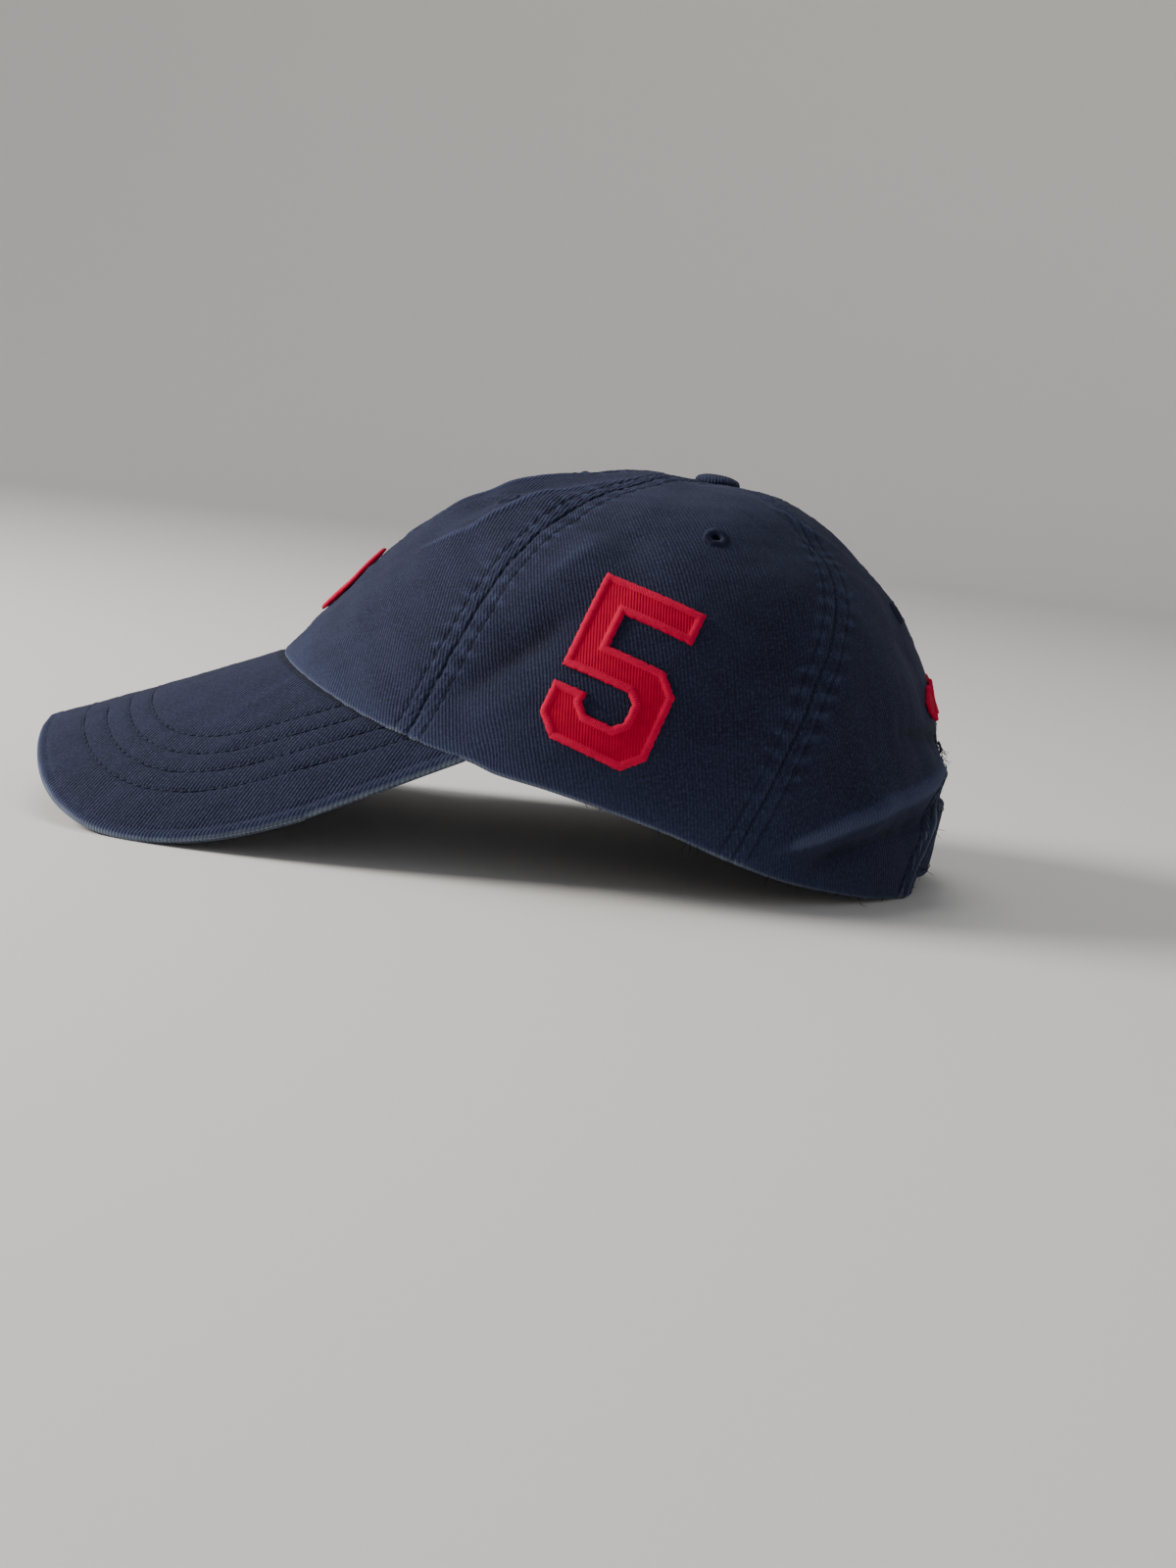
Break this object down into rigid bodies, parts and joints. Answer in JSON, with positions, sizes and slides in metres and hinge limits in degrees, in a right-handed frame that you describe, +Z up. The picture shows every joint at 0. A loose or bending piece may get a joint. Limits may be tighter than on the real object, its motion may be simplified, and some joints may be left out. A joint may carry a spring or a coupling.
{
  "type": "baseball cap",
  "caption": "Washed cotton twill baseball cap: soft panelled crown, curved cloth-covered visor, back opening with strap and slide, covered button, sewn eyelets and raised patches.",
  "frame": {"origin": "middle of the base of the bounding box, on the surface that the cap stands on", "axes": "+Z up; the visor points along -X, the wearer's left is -Y"},
  "size_m": [0.2704, 0.1668, 0.1164],
  "materials": {
    "navy_twill": "washed cotton twill",
    "navy_thread": "satin-stitched cotton thread",
    "red_twill": "twill patch with satin-stitched edge",
    "aged_brass": "aged, satin"
  },
  "bodies": {
    "root": {"front_panel_left": "navy_twill", "front_panel_right": "navy_twill", "side_panel_left": "navy_twill", "side_panel_right": "navy_twill", "back_panel_left": "navy_twill", "back_panel_right": "navy_twill", "visor_top": "navy_twill", "visor_under": "navy_twill", "back_strap": "navy_twill", "strap_slide": "aged_brass", "top_button": "navy_twill", "front_eyelet_left": "navy_thread", "front_eyelet_right": "navy_thread", "side_eyelet_left": "navy_thread", "side_eyelet_right": "navy_thread", "back_eyelet_left": "navy_thread", "back_eyelet_right": "navy_thread", "number_patch": "red_twill", "front_emblem": "red_twill", "back_emblem": "red_twill"}
  },
  "joints": []
}
